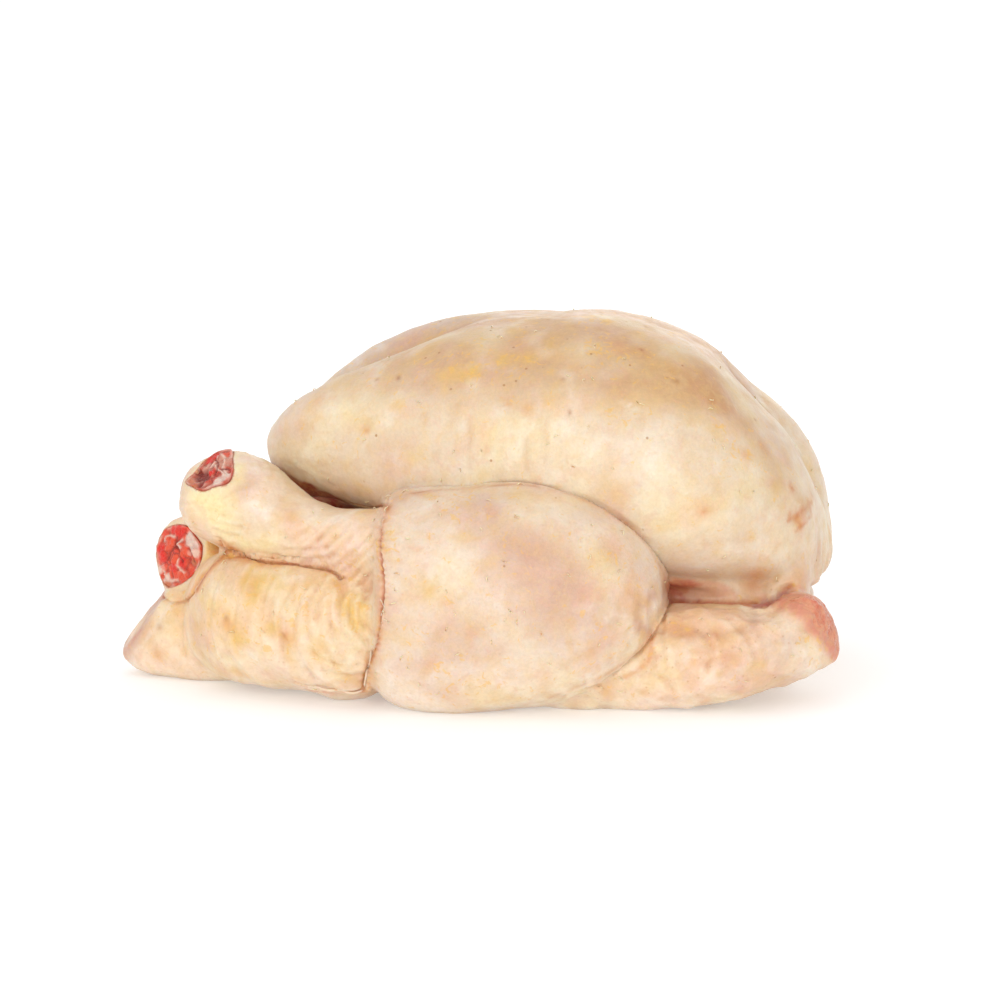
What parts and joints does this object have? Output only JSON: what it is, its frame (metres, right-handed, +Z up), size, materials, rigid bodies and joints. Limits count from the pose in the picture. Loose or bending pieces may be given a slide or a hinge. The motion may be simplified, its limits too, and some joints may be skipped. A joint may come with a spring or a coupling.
{
  "type": "whole raw chicken",
  "caption": "Plucked, drawn raw chicken lying on its back, breast up, legs tucked in, with cut hocks, raw wing ends and an open body cavity at the tail.",
  "frame": {"origin": "middle of the bird's outline seen from above, on the surface that it lies on", "axes": "+X from the tail towards the neck, +Z up, away from the surface, +Y across the bird"},
  "size_m": [0.2441, 0.1538, 0.1255],
  "materials": {
    "skin": "moist, pale raw skin with yellow and pink patches",
    "shank_flesh": "wet red flesh, marrow and white gristle",
    "wing_flesh": "wet pink-red flesh"
  },
  "bodies": {
    "root": {"chicken": "skin", "near_shank_core": "shank_flesh", "far_shank_core": "shank_flesh", "near_wing_core": "wing_flesh", "far_wing_core": "wing_flesh"}
  },
  "joints": []
}
